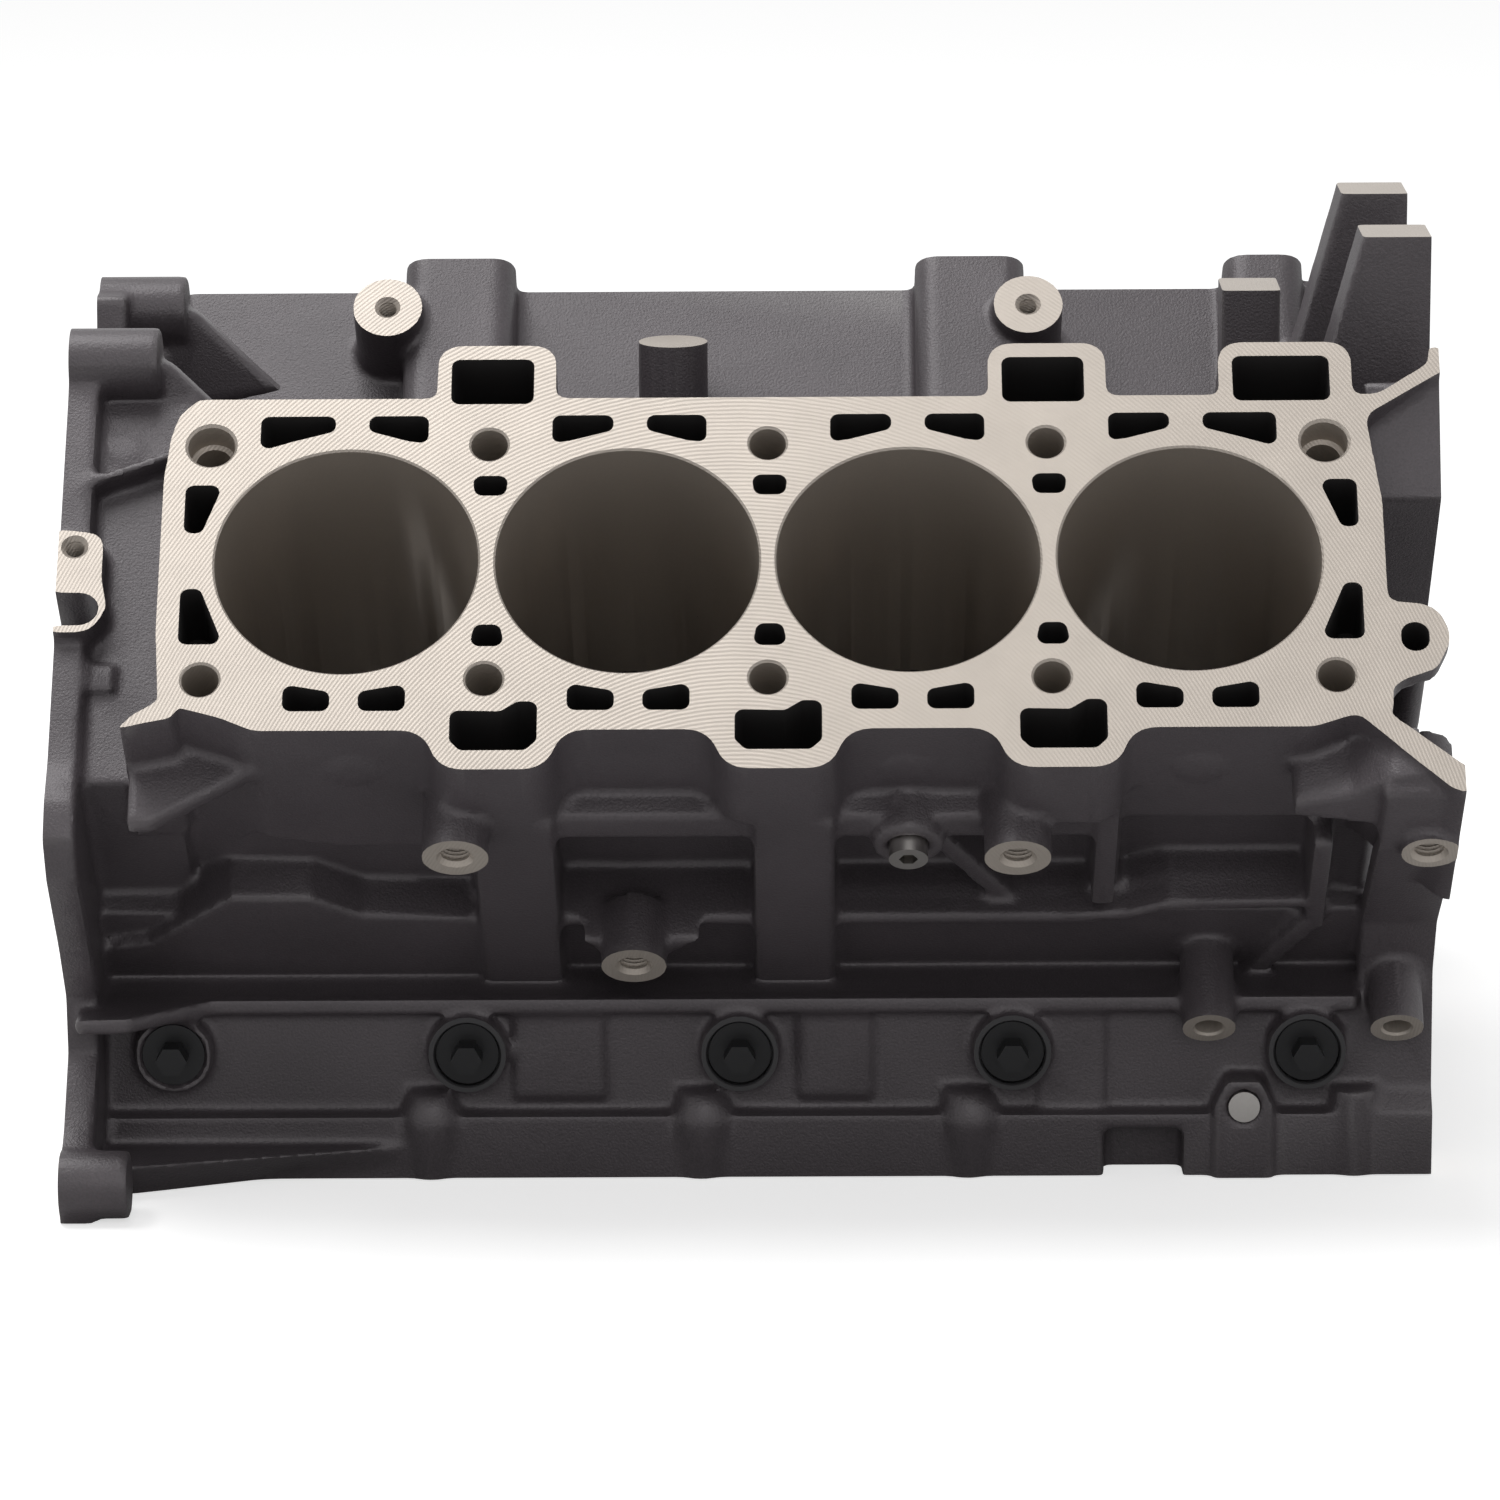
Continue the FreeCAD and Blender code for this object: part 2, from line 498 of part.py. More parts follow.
def rear_flange():
    """Flange for the transmission housing, with its top bosses and lower ears."""
    half = [(-RAIL_OUT, PAN_Z), (-181, PAN_Z), (-185, -67), (-160, -50), (-139, -28)]
    half += [(-140, -6), (-158, 17), (-190, 51), (-198, 68), (-190, 80)]
    half += [(-175, 91), (-103, 170), (-73, 202), (-58, 222), (-36, 222), (-30, 190)]
    solids = [slab("end", REAR_FACE, REAR_FACE + FLANGE, both_sides(half))]
    solids.append(block(REAR_FACE + 4, REAR_FACE + 24, -58, 58, 90, 196))
    reach = COLUMNS[1] - 18
    for side in (-1, 1):
        solids.append(rod("end", REAR_FACE, REAR_FACE + 33, side * 56, 213, 13))
        solids.append(rod("end", REAR_FACE, REAR_FACE + EAR_LENGTH, side * EAR_HALF, PAN_Z + EAR_RISE, EAR_R))
        low = [(REAR_FACE + 2, 148), (-222, 145), (-166, 124), (reach, RAIL_OUT - 2)]
        high = [(REAR_FACE + 2, 156), (-222, 154), (-166, 141), (reach, RAIL_OUT)]
        inner = [(reach, RAIL_IN + 5), (REAR_FACE + 2, RAIL_IN + 5)]
        wires = []
        for level, points in ((PAN_Z, low), (PAN_Z + 13, high)):
            wires.append(outline("plan", level, [(x, side * y) for x, y in points + inner]))
        solids.append(Part.makeLoft(wires, True, True))
        ledge = [(-190, side * (SKIRT_OUT - 4)), (-193, side * RAIL_OUT), (-222, side * 152)]
        ledge += [(REAR_FACE + 4, side * 154), (REAR_FACE + 4, side * (SKIRT_OUT - 4))]
        solids.append(slab("plan", LEDGE_Z - LEDGE_THICK, LEDGE_Z, ledge))
        gusset = [(REAR_FACE + 4, 175), (-205, 176), (-177, 182), (-209, 213), (REAR_FACE + 4, 213)]
        solids.append(slab("side", side * 50, side * 60, gusset))
    return solids


def front_frame():
    """Timing cover rail: a frame that stands out from the front wall."""
    half = [(-RAIL_OUT, PAN_Z), (-RAIL_OUT, -RAIL_TOP), (-121, -48), (-119, -4), (-132, 18), (-178, 50)]
    half += [(-196, 62), (-222, 88), (-218, 96), (-205, 96)]
    inner = [(-212, 90), (-188, 66), (-168, 56), (-124, 24), (-110, 0), (-110, -52), (-112, PAN_Z)]
    solids = []
    for side in (-1, 1):
        points = [(side * -y, z) for y, z in half + inner]
        solids.append(slab("end", FRONT_WALL - 4, FRONT_FACE, points))
    return solids


def pillars():
    """Two tall ears at the front, with machined tops."""
    solids = []
    for side in (-1, 1):
        y0, y1 = sorted((side * 36, side * 64))
        shape = [(FRONT_FACE - 58, 150), (FRONT_FACE, 150), (FRONT_FACE, 259), (FRONT_FACE - 25, 259)]
        shape += [(FRONT_FACE - 40, 205)]
        solids.append(slab("side", y0, y1, shape))
    return solids


def valley_bosses():
    """An upright boss and a square post on the valley floor."""
    return [rod("plan", 90, 198, -26, 66, 13.5), block(181.5, 203.5, -10, 18, 90, 230)]


def disc_bosses():
    """Two round bosses on the valley wall of the far bank."""
    return [rod("side", DISC_FACE, DISC_TIP, x, DISC_U, DISC_R) for x in DISCS]


def crankcase_cuts():
    """Crankshaft bays, main bearing line, rear seal bore and cap seats."""
    cuts = []
    inner = SKIRT_OUT - WALL
    for left, right in zip(MAINS[:-1], MAINS[1:]):
        x0 = left + BULKHEAD / 2
        x1 = right - BULKHEAD / 2
        cuts.append(rod("end", x0, x1, 0, 0, BAY_R))
        half = [(-RAIL_IN, PAN_Z - 1), (-RAIL_IN, -RAIL_TOP - 4), (-inner, -RAIL_TOP + 4), (-inner, -16)]
        cuts.append(slab("end", x0, x1, both_sides(half + [(-BAY_R + 2, 0)])))
    cuts.append(rod("end", REAR_FACE - 1, MAINS[4] + 60, 0, 0, MAIN_R))
    for x in MAINS:
        cuts.append(block(x - 20, x + 20, -CAP_HALF, CAP_HALF, PAN_Z - 1, 0))
    cuts.append(rod("end", REAR_FACE - 1, MAINS[0] - BULKHEAD / 2, 0, 0, SEAL_R))
    cuts.append(block(REAR_FACE - 1, MAINS[0] - 11, -SEAL_R, SEAL_R, PAN_Z - 1, 0))
    cuts.append(rod("end", MAINS[4] + BULKHEAD / 2, FRONT_FACE + 1, 0, 0, SEAL_R))
    cuts.append(block(MAINS[4] + 10, FRONT_FACE + 1, -SEAL_R, SEAL_R, PAN_Z - 1, 0))
    return cuts


def bolt_cuts():
    """Holes for the cap bolts, cross bolts, pan bolts and the side plugs."""
    cuts = []
    face = SKIRT_OUT - 2 + COLLAR_PROUD
    for side in (-1, 1):
        for x in MAINS:
            cuts.append(rod("plan", -1, STUD_LENGTH, x, side * STUD_ROW, STUD_R))
            floor = face - RECESS_DEPTH
            cuts.append(rod("side", side * (face + 1), side * floor, x, -CROSS_DROP, RECESS_R))
            cuts.append(rod("side", side * face, side * (CAP_HALF - 1), x, -CROSS_DROP, CROSS_R))
        y0, y1 = sorted((side * (SKIRT_OUT - 6), side * (RAIL_OUT + 4)))
        cuts.append(block(134, SIDE_PLUG_X - 22, y0, y1, PAN_Z - 1, -RAIL_TOP - 6))
        for x in RAIL_BOLTS:
            cuts.append(rod("plan", PAN_Z - 1, PAN_Z + 18, x, side * (RAIL_OUT - 7), RAIL_BOLT_R))
        cuts.append(rod("end", REAR_FACE - 1, REAR_FACE + 40, side * EAR_HALF, PAN_Z + EAR_RISE, 5.5))
        cuts.append(rod("end", REAR_FACE - 1, REAR_FACE + 24, side * 56, 213, 5.5))
        floor = SIDE_PLUG_OUT - 10
        cuts.append(rod("side", side * SIDE_PLUG_OUT, side * floor, SIDE_PLUG_X, SIDE_PLUG_Z, SIDE_PLUG_R))
    return cuts


def disc_holes():
    """Blind holes at the inner ends of the round valley bosses, in the bank frame."""
    stop = DISC_FACE + DISC_HOLE_DEPTH
    return [rod("side", DISC_FACE - 1, stop, x, DISC_U, DISC_HOLE_R) for x in DISCS]


def plug_cut():
    """Tapped hole of the oil gallery plug, in the bank frame."""
    return rod("side", -LIP_FACE - 7, -60, PLUG_X, PLUG_U, PLUG_R)


def cylinder_block():
    """The block casting with its machined faces and holes."""
    near_tabs = [(NEAR - 119.3, NEAR - 76.4), (NEAR + 79.6, NEAR + 122.3), (NEAR + 162.9, NEAR + 211)]
    far_tabs = [(-NEAR - 119.3, -NEAR - 76.4), (-NEAR + 79.6, -NEAR + 122.3), (-NEAR + 200, -NEAR + 231)]
    solids = crankcase() + rear_flange() + front_frame() + pillars() + valley_bosses()
    solids.append(leaned(bank_solid(NEAR, near_tabs, -1), -1))
    solids.append(leaned(fuse([bank_solid(-NEAR, far_tabs, 1)] + disc_bosses()), 1))
    body = fuse(solids)
    cuts = crankcase_cuts() + bolt_cuts()
    cuts += [leaned(cut, -1) for cut in bank_cuts(NEAR, near_tabs) + [plug_cut()]]
    cuts += [leaned(cut, 1) for cut in bank_cuts(-NEAR, far_tabs) + disc_holes()]
    return body.cut(cuts)


# ---- loose pieces
def main_cap(x):
    """Main bearing cap between the skirts, with its half bore and bolt holes."""
    half = [(-66, -CAP_DEPTH), (-CAP_HALF, -50), (-CAP_HALF, 0)]
    cap = slab("end", x - BULKHEAD / 2, x + BULKHEAD / 2, both_sides(half))
    cuts = [rod("end", x - BULKHEAD, x + BULKHEAD, 0, 0, MAIN_R)]
    for side in (-1, 1):
        cuts.append(rod("plan", 1, -CAP_DEPTH - 1, x, side * STUD_ROW, STUD_R))
        cuts.append(rod("side", side * (CAP_HALF + 1), side * CROSS_STOP, x, -CROSS_DROP, CROSS_R))
    return cap.cut(cuts)


def hexagon(plane, start, stop, a, b, across_flats):
    """Hexagonal bar."""
    reach = across_flats / math.sqrt(3)
    corners = [(a + reach * math.cos(math.radians(60 * i)), b + reach * math.sin(math.radians(60 * i)))
               for i in range(6)]
    return slab(plane, start, stop, corners)


def cap_bolts(x):
    """The two upright bolts of a main cap."""
    solids = []
    for side in (-1, 1):
        y = side * STUD_ROW
        solids.append(rod("plan", -CAP_DEPTH, STUD_LENGTH, x, y, STUD_R))
        solids.append(hexagon("plan", -CAP_DEPTH - STUD_HEAD, -CAP_DEPTH, x, y, STUD_FLATS))
    return fuse(solids)


def cross_bolts(x):
    """The two cross bolts of a main cap, each with a round flange and a small hexagon."""
    solids = []
    for side in (-1, 1):
        seat = side * (SKIRT_OUT - 2 + COLLAR_PROUD - RECESS_DEPTH)
        flange = seat + side * CROSS_FLANGE
        solids.append(rod("side", seat, side * CROSS_STOP, x, -CROSS_DROP, CROSS_R))
        solids.append(rod("side", seat, flange, x, -CROSS_DROP, RECESS_R - 0.6))
        solids.append(hexagon("side", flange, flange + side * CROSS_HEAD, x, -CROSS_DROP, CROSS_FLATS))
    return fuse(solids)


def gallery_plug():
    """Oil gallery plug with a hexagon socket, screwed into its boss on the near bank."""
    plug = rod("side", -LIP_FACE - 11, -LIP_FACE + 8, PLUG_X, PLUG_U, PLUG_R)
    socket = hexagon("side", -LIP_FACE - 12, -LIP_FACE - 4, PLUG_X, PLUG_U, 6)
    return leaned(plug.cut(socket), -1)


def side_plugs():
    """Round plugs low on both skirts."""
    stop = SIDE_PLUG_OUT - 10
    return fuse([rod("side", side * SIDE_PLUG_OUT, side * stop, SIDE_PLUG_X, SIDE_PLUG_Z, SIDE_PLUG_R)
                 for side in (-1, 1)])


def save(name, shape):
    """Write one piece and report its size."""
    shape.exportStep("parts/" + name + ".step")
    print(name, len(shape.Solids), shape.isValid(), round(shape.Volume))


os.makedirs("parts", exist_ok=True)
save("cylinder_block", cylinder_block())
save("gallery_plug", gallery_plug())
save("side_plugs", side_plugs())
for number, place in enumerate(MAINS, 1):
    save("main_cap_%d" % number, main_cap(place))
    save("cap_bolts_%d" % number, cap_bolts(place))
    save("cross_bolts_%d" % number, cross_bolts(place))
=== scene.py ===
import json
import math
import bpy
from mathutils import Matrix, Vector

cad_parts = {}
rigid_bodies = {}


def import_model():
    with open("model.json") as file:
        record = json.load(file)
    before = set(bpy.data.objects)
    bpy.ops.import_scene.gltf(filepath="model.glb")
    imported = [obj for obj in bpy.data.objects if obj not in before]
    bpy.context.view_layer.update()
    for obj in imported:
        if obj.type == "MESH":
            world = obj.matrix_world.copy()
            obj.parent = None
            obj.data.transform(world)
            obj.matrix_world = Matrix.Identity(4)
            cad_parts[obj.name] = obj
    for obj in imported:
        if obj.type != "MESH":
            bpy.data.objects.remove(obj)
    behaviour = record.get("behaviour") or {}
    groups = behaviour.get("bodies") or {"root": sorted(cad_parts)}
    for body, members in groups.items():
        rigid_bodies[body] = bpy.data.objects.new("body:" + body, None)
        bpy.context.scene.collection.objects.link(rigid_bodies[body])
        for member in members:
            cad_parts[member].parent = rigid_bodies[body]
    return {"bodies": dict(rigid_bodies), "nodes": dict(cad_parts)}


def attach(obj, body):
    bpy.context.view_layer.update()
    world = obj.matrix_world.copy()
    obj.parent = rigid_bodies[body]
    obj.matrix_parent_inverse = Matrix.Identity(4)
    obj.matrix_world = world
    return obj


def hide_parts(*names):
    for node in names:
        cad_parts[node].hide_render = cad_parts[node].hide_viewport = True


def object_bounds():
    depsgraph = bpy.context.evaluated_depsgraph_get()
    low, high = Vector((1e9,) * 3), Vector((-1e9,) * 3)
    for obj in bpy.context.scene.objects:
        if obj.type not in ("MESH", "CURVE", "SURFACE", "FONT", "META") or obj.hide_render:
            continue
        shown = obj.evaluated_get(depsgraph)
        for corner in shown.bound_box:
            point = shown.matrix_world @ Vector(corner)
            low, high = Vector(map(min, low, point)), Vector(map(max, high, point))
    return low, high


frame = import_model()
start_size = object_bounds()
MM = 0.001

# ---- sizes of the casting
DECK_HEIGHT = 227 * MM    # crankshaft axis to deck
BOSS_TIP = 99 * MM        # upper mounting bosses, from the bore axis
LOW_BOSS_TIP = 110 * MM   # lower ones
PAD_HEIGHT = 196 * MM     # small pad on the rear flange, along the bore axis
COLLAR_OUT = 131 * MM     # collars of the cross bolts, from the middle of the block
DISC_TIP = 100 * MM       # round bosses in the valley, from the bore axis
DISC_HOLE_R = 3.4 * MM
REAR_FACE = 245.5 * MM
FRONT_FACE = 254.5 * MM
PAN_FACE = 79.5 * MM
TOPS = (259 * MM, 230 * MM, 198 * MM)    # pillars and the upright valley boss
BOLT_R = 6.6 * MM         # head bolt holes, below their dowels
DOWEL_DEPTH = 12 * MM
HOLE_DEPTH = 22 * MM      # blind holes outside the decks
RECESS_DEPTH = 5 * MM     # recesses of the cross bolts
BORE_DEPTH = 165 * MM
BOLT_DEPTH = 70 * MM
SLOT_DEPTH = 34 * MM      # water slots
WINDOW_DEPTH = 60 * MM    # oil return windows
SLOT_CORNER = 3.2 * MM
CHAMFER = 0.8 * MM
BORE_CHAMFER = 0.7 * MM
DOWEL_CHAMFER = 1 * MM
DOWEL_STEP = 0.5 * MM     # height of the cone under a dowel
COLLAR_CHAMFER = 0.5 * MM
PITCH = 1.5 * MM          # threads
THREAD_RISE = 0.8 * MM
DRILL_TIP = 0.6           # height of the cone at a hole's end, in radii
DRILL_POINT = 0.02        # radius of its point, in radii

# ---- working of the casting
VOXEL = 1.6 * MM
SMOOTHING = 8             # passes
KEPT_TRIANGLES = 140000   # in the casting before it is cut
SHARP_ANGLE = math.radians(38)
STOCK = 3 * MM            # metal left on machined planes before they are cut
FACING = 9 * MM           # depth of metal that the facing cut of a patch may take
PLUG_FIT = 0.5 * MM       # plugs are this much wider than their holes, all round
PLUG_DEPTH = 100 * MM     # plugs of the bores
PLUG_BEYOND = 1 * MM      # other deck plugs end this much below the deepest cut of their kind
BLIND_BEYOND = 3 * MM     # and plugs of the holes outside the decks this much
PROUD = 0.3 * MM          # drilled shapes reach this far out of the face
WHOLE_PLANES = ("rear", "front", "pan")    # faced in one cut each
WHOLE_CUT = 20 * MM       # depth of metal that such a cut may take
MARGIN = 4 * MM           # a facing cut reaches this far round its patch
ROUND_MARGIN = 2.5 * MM   # and this far round a round one, at the face itself
SMALLEST_PATCH = 4 * MM   # smaller ones stay as cast
LARGEST_DRILLED = 15 * MM # radius of the largest hole drilled outside the decks
BORE_LIMIT = 40 * MM      # a round deck hole of a larger radius is a bore
DOWEL_LIMIT = 8 * MM      # and one of a larger radius than this is a bolt hole with a dowel
WINDOW_SPAN = 29 * MM     # a long deck slot that reaches above WINDOW_TOP is an oil return window
WINDOW_TOP = 195 * MM
BORE_SIDES = 160
HOLE_SIDES = 40
CAST, MILLED, HONED, CORE, BLACKED = range(5)

# ---- small cast forms, in millimetres: profiles are (level, radius) pairs
RAIL_BOSSES = (-114, -14, 84.5)
RAIL_BOSS = [(-79, 8), (-68, 9.5), (-58, 11.5), (-51, 9.5), (-47.5, 5), (-46.5, 1)]
RAIL_BOSS_OUT = 123
PIP = [(-78, 2), (-76, 4.5), (-71, 5), (-68, 3), (-67, 1)]
PIP_OUT = 127
SIDE_MARKS = (-136, 60, 164)
SIDE_MARK = [(-4, 8), (1, 8)]
SIDE_MARK_OUT = 191
SIDE_MARK_UP = 91

# ---- light
SKY = 0.32
FLOOR_GLOW = 0.62
FLOOR_GAP = 0.5 * MM      # keeps the floor clear of the lowest face
LAMP_AIM = (0, 0, 0.1)
LAMP_SIZE = 1.6

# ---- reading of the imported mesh
SAME_WAY = 0.9999         # least cosine between the normals of a plane and of its polygons
ON_PLANE = 0.02 * MM      # and the furthest that their centres lie from it
STRAIGHT = -0.9998        # a point whose sides have a lower cosine isn't a corner
ROUND_POINTS = 12         # a loop with fewer points isn't taken for a circle
BLUNT = math.radians(82)  # a corner with a larger half angle isn't rounded
LONGEST_ARC = 0.48        # most of a side that one rounded corner takes


# ---- camera
def add_camera():
    """The camera that the object is seen from."""
    tilt = math.radians(13.803)
    turn = math.radians(0.4947)
    roll = math.radians(-0.3765)
    back = Vector((math.sin(turn) * math.cos(tilt), -math.cos(turn) * math.cos(tilt), math.sin(tilt)))
    level = Vector((math.cos(turn), math.sin(turn), 0))
    upright = back.cross(level)
    right = level * math.cos(roll) + upright * math.sin(roll)
    up = upright * math.cos(roll) - level * math.sin(roll)
    data = bpy.data.cameras.new("camera")
    data.lens = 160.509
    data.sensor_width = 36
    data.clip_end = 100
    camera = bpy.data.objects.new("camera", data)
    place = Matrix((right, up, back)).transposed().to_4x4()
    place.translation = Vector((24.82, -2486.04, 661.95)) * MM
    camera.matrix_world = place
    bpy.context.scene.collection.objects.link(camera)
    bpy.context.scene.camera = camera


# ---- materials
def texture(tree, kind, scale, settings):
    """Texture node in the object's own coordinates."""
    place = tree.nodes.new("ShaderNodeTexCoord")
    node = tree.nodes.new(kind)
    node.inputs["Scale"].default_value = scale
    for key, value in settings.items():
        if key in node.inputs:
            node.inputs[key].default_value = value
        else:
            setattr(node, key, value)
    tree.links.new(place.outputs["Object"], node.inputs["Vector"])
    return node


def shaded(tree, colour, factor, amount):
    """Mix of a colour's darker and lighter shades, each the amount away from it."""
    mix = tree.nodes.new("ShaderNodeMix")
    mix.data_type = "RGBA"
    mix.inputs["A"].default_value = tuple(c * (1 - amount) for c in colour) + (1,)
    mix.inputs["B"].default_value = tuple(min(1, c * (1 + amount)) for c in colour) + (1,)
    tree.links.new(factor, mix.inputs["Factor"])
    return mix.outputs["Result"]


def relief(tree, shader, height, distance):
    """Bump on the shader from a height."""
    bump = tree.nodes.new("ShaderNodeBump")
    bump.inputs["Distance"].default_value = distance
    bump.inputs["Strength"].default_value = 0.6
    tree.links.new(height, bump.inputs["Height"])
    tree.links.new(bump.outputs["Normal"], shader.inputs["Normal"])


def material(name, colour, metallic, roughness, bump=0.0, scale=900.0, tint=0.06):
    """Principled material with a fine procedural grain in colour and relief."""
    mat = bpy.data.materials.new(name)
    mat.use_nodes = True
    tree = mat.node_tree
    shader = tree.nodes["Principled BSDF"]
    shader.inputs["Metallic"].default_value = metallic
    shader.inputs["Roughness"].default_value = roughness
    noise = texture(tree, "ShaderNodeTexNoise", scale, {"Detail": 4})
    result = shaded(tree, colour, noise.outputs["Fac"], tint)
    tree.links.new(result, shader.inputs["Base Color"])
    if bump > 0:
        relief(tree, shader, noise.outputs["Fac"], bump)
    return mat


def cast_material(name, colour, edge_highlight):
    """Sand cast skin: fine grain, cloudy tone, and a painted highlight on convex edges."""
    mat = material(name, colour, metallic=0.15, roughness=0.42, bump=0.00035, scale=1100, tint=0.35)
    tree = mat.node_tree
    shader = tree.nodes["Principled BSDF"]
    skin = shader.inputs["Base Color"].links[0].from_socket
    cloud = texture(tree, "ShaderNodeTexNoise", 22, {"Detail": 3})
    tone = shaded(tree, (0.5, 0.5, 0.5), cloud.outputs["Fac"], amount=0.3)
    clouded = tree.nodes.new("ShaderNodeMix")
    clouded.data_type = "RGBA"
    clouded.blend_type = "OVERLAY"
    clouded.inputs["Factor"].default_value = 0.8
    tree.links.new(skin, clouded.inputs["A"])
    tree.links.new(tone, clouded.inputs["B"])
    # painted highlight: convex edges, found by pointiness, are mixed towards a lighter colour
    edge = tree.nodes.new("ShaderNodeNewGeometry")
    ramp = tree.nodes.new("ShaderNodeMapRange")
    ramp.inputs["From Min"].default_value = 0.52
    ramp.inputs["From Max"].default_value = 0.66
    ramp.inputs["To Max"].default_value = 0.55
    tree.links.new(edge.outputs["Pointiness"], ramp.inputs["Value"])
    edge_highlight_mix = tree.nodes.new("ShaderNodeMix")
    edge_highlight_mix.data_type = "RGBA"
    edge_highlight_mix.inputs["B"].default_value = edge_highlight + (1,)
    tree.links.new(ramp.outputs["Result"], edge_highlight_mix.inputs["Factor"])
    tree.links.new(clouded.outputs["Result"], edge_highlight_mix.inputs["A"])
    tree.links.new(edge_highlight_mix.outputs["Result"], shader.inputs["Base Color"])
    return mat


def milled_material(name, colour):
    """Face milled iron: wide arcs of fine cutter marks."""
    mat = material(name, colour, metallic=0.5, roughness=0.45, scale=60, tint=0.09)
    tree = mat.node_tree
    shader = tree.nodes["Principled BSDF"]
    settings = {"wave_type": "RINGS", "rings_direction": "Y", "Distortion": 1.5, "Detail": 2}
    settings["Detail Scale"] = 0.4
    arcs = texture(tree, "ShaderNodeTexWave", 260, settings)
    relief(tree, shader, arcs.outputs["Fac"], distance=0.00008)
    return mat


# ---- stage
def to_camera(tree, kinds):
    """1 for the rays of these kinds and 0 for the rest."""
    path = tree.nodes.new("ShaderNodeLightPath")
    total = path.outputs[kinds[0]]
    for kind in kinds[1:]:
        larger = tree.nodes.new("ShaderNodeMath")
        larger.operation = "MAXIMUM"
        tree.links.new(total, larger.inputs[0])
        tree.links.new(path.outputs[kind], larger.inputs[1])
        total = larger.outputs[0]
    return total


def ranged(tree, factor, low, high, socket):
    """Feeds a socket with low at factor 0 and high at factor 1."""
    step = tree.nodes.new("ShaderNodeMapRange")
    step.inputs["To Min"].default_value = low
    step.inputs["To Max"].default_value = high
    tree.links.new(factor, step.inputs["Value"])
    tree.links.new(step.outputs["Result"], socket)


def add_stage(floor_z):
    """White floor that keeps the shadow, and an even world that looks white."""
    bpy.ops.mesh.primitive_plane_add(size=40, location=(0, 0, floor_z))
    floor = bpy.context.object
    floor.name = "floor"
    mat = bpy.data.materials.new("floor")
    mat.use_nodes = True
    shader = mat.node_tree.nodes["Principled BSDF"]
    shader.inputs["Base Color"].default_value = (0.8, 0.8, 0.8, 1)
    shader.inputs["Roughness"].default_value = 1
    shader.inputs["Specular IOR Level"].default_value = 0
    shader.inputs["Emission Color"].default_value = (1, 1, 1, 1)
    seen = to_camera(mat.node_tree, ["Is Camera Ray"])
    ranged(mat.node_tree, seen, 0, FLOOR_GLOW, shader.inputs["Emission Strength"])
    floor.data.materials.append(mat)
    world = bpy.data.worlds.new("world")
    world.use_nodes = True
    sky = world.node_tree.nodes["Background"]
    sky.inputs["Color"].default_value = (1, 1, 1, 1)
    seen = to_camera(world.node_tree, ["Is Camera Ray", "Is Glossy Ray", "Is Transmission Ray"])
    ranged(world.node_tree, seen, SKY, 1, sky.inputs["Strength"])
    bpy.context.scene.world = world


def add_lamp(name, place, power):
    """Square area lamp that looks at the block."""
    data = bpy.data.lights.new(name, "AREA")
    data.size = LAMP_SIZE
    data.energy = power
    lamp = bpy.data.objects.new(name, data)
    lamp.location = place
    lamp.rotation_euler = (Vector(LAMP_AIM) - Vector(place)).to_track_quat("-Z", "Y").to_euler()
    bpy.context.scene.collection.objects.link(lamp)


# ---- casting
def bank_way(side):
    """Outward and inward-across directions of a bank: side -1 is the near one, 1 the far one."""
    s = math.sqrt(0.5)
    return Vector((0, side * s, s)), Vector((0, -side * s, s))


def plane_patches(mesh, normal, offset):
    """Connected patches of the polygons that lie on a plane, as lists of polygon indices."""
    found = []
    for face in mesh.polygons:
        if face.normal.dot(normal) > SAME_WAY and abs(face.center.dot(normal) - offset) < ON_PLANE:
            found.append(face.index)
    owner = {}
    for index in found:
        for edge in mesh.polygons[index].edge_keys:
            owner.setdefault(edge, []).append(index)
    left = set(found)
    patches = []
    while left:
        todo = [left.pop()]
        patch = list(todo)
        while todo:
            for edge in mesh.polygons[todo.pop()].edge_keys:
                for other in owner[edge]:
                    if other in left:
                        left.remove(other)
                        todo.append(other)
                        patch.append(other)
        patches.append(patch)
    return patches


def patch_loops(mesh, patch):
    """Boundary loops of a patch as lists of points, the outer one first."""
    count = {}
    for index in patch:
        for edge in mesh.polygons[index].edge_keys:
            count[edge] = count.get(edge, 0) + 1
    ways = {}
    for index in patch:
        corners = list(mesh.polygons[index].vertices)
        for a, b in zip(corners, corners[1:] + corners[:1]):
            if count[(min(a, b), max(a, b))] == 1:
                ways.setdefault(a, []).append(b)
    loops = []
    while ways:
        first = next(iter(ways))
        loop = [first]
        at = first
        while at in ways:
            step = ways[at].pop()
            if not ways[at]:
                del ways[at]
            if step == first:
                break
            loop.append(step)
            at = step
        loops.append([mesh.vertices[i].co.copy() for i in loop])
    loops.sort(key=lambda points: -loop_span(points))
    return loops


def loop_span(points):
    """Longest side of the box round a loop."""
    return max(max(p[k] for p in points) - min(p[k] for p in points) for k in range(3))


def circle_of(points):
    """(centre, largest radius) if a loop is round, or None."""
    if len(points) < ROUND_POINTS:
        return None
    centre = sum(points, Vector()) / len(points)
    far = [(p - centre).length for p in points]
    radius = sum(far) / len(far)
    out_of_round = 0.06 * radius + 0.05 * MM
    if max(far) - min(far) > out_of_round:
        return None
    return centre, max(far)


def straightened(points):
    """A loop without its points in the middle of straight sides."""
    kept = []
    count = len(points)
    for i, point in enumerate(points):
        back = (points[i - 1] - point).normalized()
        ahead = (points[(i + 1) % count] - point).normalized()
        if back.dot(ahead) > STRAIGHT:
            kept.append(point)
    return kept


